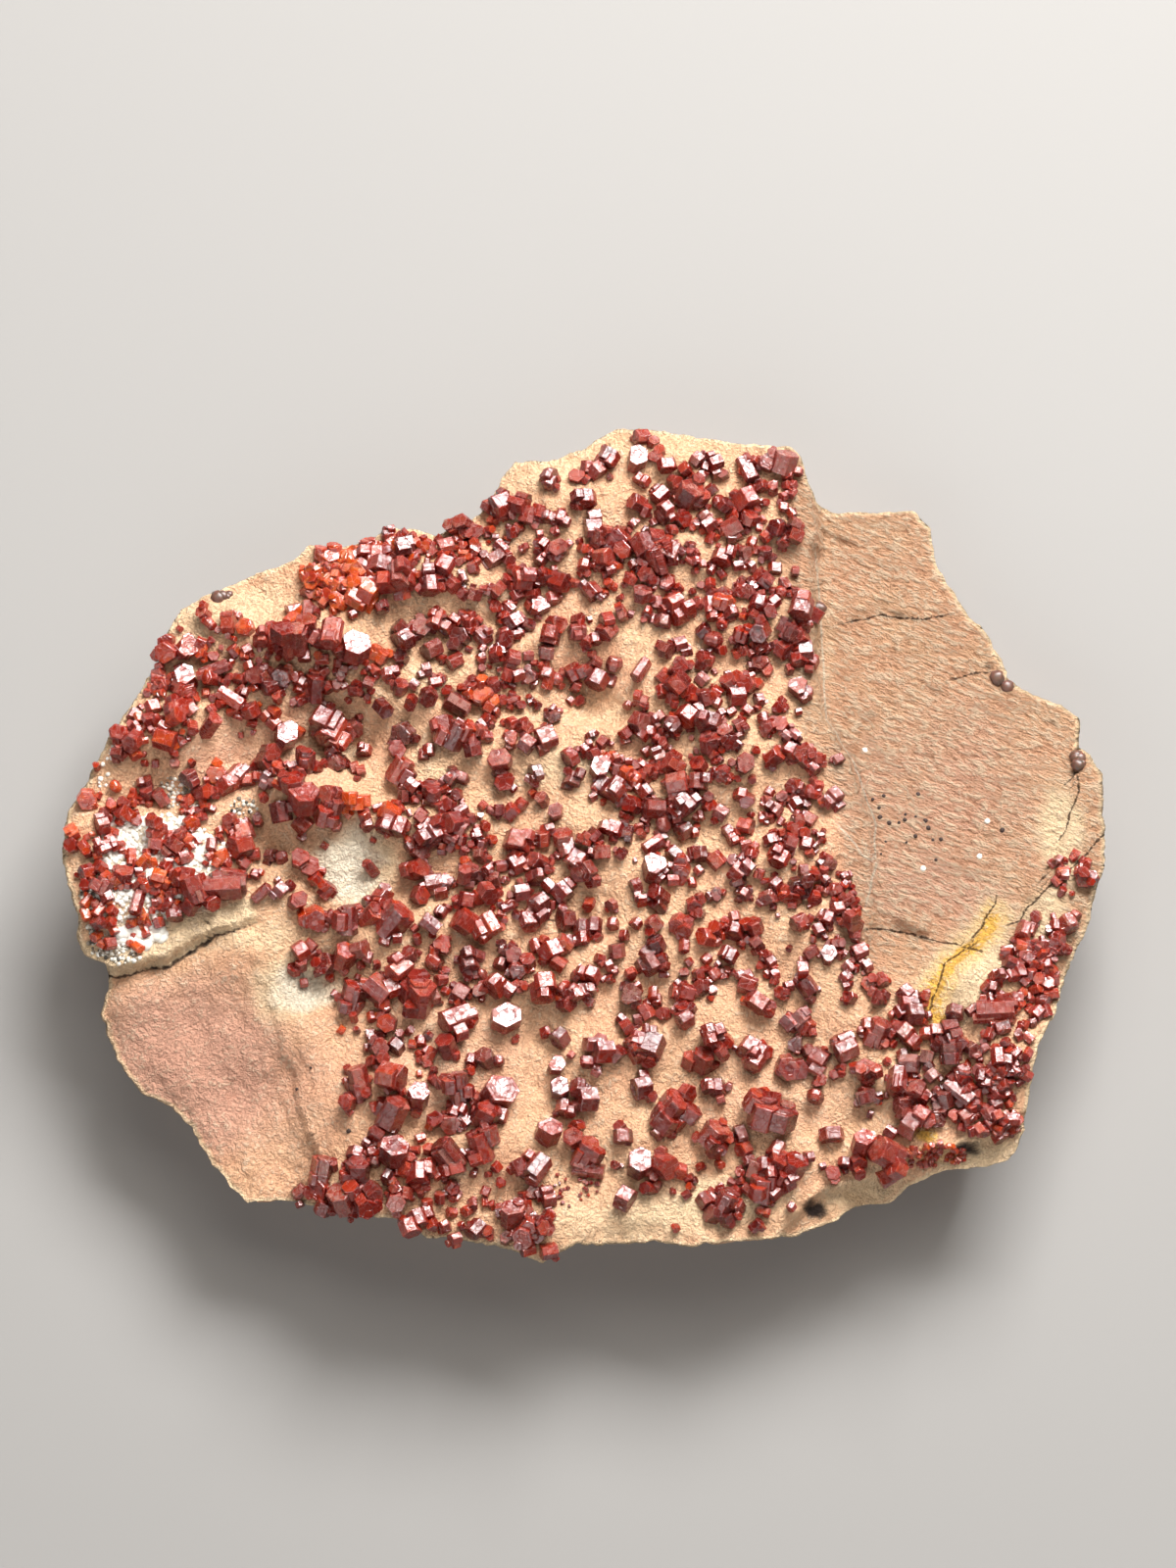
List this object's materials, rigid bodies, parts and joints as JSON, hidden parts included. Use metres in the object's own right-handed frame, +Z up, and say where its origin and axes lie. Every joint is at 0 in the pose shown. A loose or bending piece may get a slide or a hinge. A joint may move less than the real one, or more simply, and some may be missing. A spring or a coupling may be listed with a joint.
{
  "type": "mineral specimen",
  "caption": "Slab of tan layered sandstone lying on its flat back, its upper face strewn with short red-brown hexagonal vanadinite crystals.",
  "frame": {"origin": "middle of the footprint's bounding rectangle, on the surface that the slab lies on", "axes": "+Z up out of the crystal-bearing face, +X along the slab's length to the right as seen by a viewer at -Y, +Y away from that viewer"},
  "size_m": [0.15, 0.1241, 0.0278],
  "materials": {
    "matrix": "matte, grainy",
    "vanadinite": "glossy, slightly translucent"
  },
  "bodies": {
    "root": {"back_crystal_1": "vanadinite", "back_crystal_2": "vanadinite", "back_crystal_3": "vanadinite", "back_crystal_4": "vanadinite", "crest_crystal_1": "vanadinite", "crest_crystal_2": "vanadinite", "crest_crystal_3": "vanadinite", "crest_crystal_4": "vanadinite", "crest_crystal_5": "vanadinite", "crest_crystal_6": "vanadinite", "crest_crystal_7": "vanadinite", "front_left_crystal_1": "vanadinite", "front_left_crystal_10": "vanadinite", "front_left_crystal_11": "vanadinite", "front_left_crystal_12": "vanadinite", "front_left_crystal_13": "vanadinite", "front_left_crystal_2": "vanadinite", "front_left_crystal_3": "vanadinite", "front_left_crystal_4": "vanadinite", "front_left_crystal_5": "vanadinite", "front_left_crystal_6": "vanadinite", "front_left_crystal_7": "vanadinite", "front_left_crystal_8": "vanadinite", "front_left_crystal_9": "vanadinite", "front_right_crystal_1": "vanadinite", "front_right_crystal_2": "vanadinite", "front_right_crystal_3": "vanadinite", "front_right_crystal_4": "vanadinite", "front_right_crystal_5": "vanadinite", "front_right_crystal_6": "vanadinite", "front_right_crystal_7": "vanadinite", "front_right_crystal_8": "vanadinite", "front_right_crystal_9": "vanadinite", "hollow_crystal_1": "vanadinite", "hollow_crystal_2": "vanadinite", "hollow_crystal_3": "vanadinite", "hollow_crystal_4": "vanadinite", "hollow_crystal_5": "vanadinite", "hollow_crystal_6": "vanadinite", "left_lobe_crystal_1": "vanadinite", "left_lobe_crystal_2": "vanadinite", "left_lobe_crystal_3": "vanadinite", "left_lobe_crystal_4": "vanadinite", "matrix": "matrix", "middle_crystal_1": "vanadinite", "middle_crystal_10": "vanadinite", "middle_crystal_2": "vanadinite", "middle_crystal_3": "vanadinite", "middle_crystal_4": "vanadinite", "middle_crystal_5": "vanadinite", "middle_crystal_6": "vanadinite", "middle_crystal_7": "vanadinite", "middle_crystal_8": "vanadinite", "middle_crystal_9": "vanadinite", "right_corner_crystal_1": "vanadinite", "right_corner_crystal_2": "vanadinite", "right_corner_crystal_3": "vanadinite", "right_corner_crystal_4": "vanadinite", "right_corner_crystal_5": "vanadinite"}
  },
  "joints": []
}
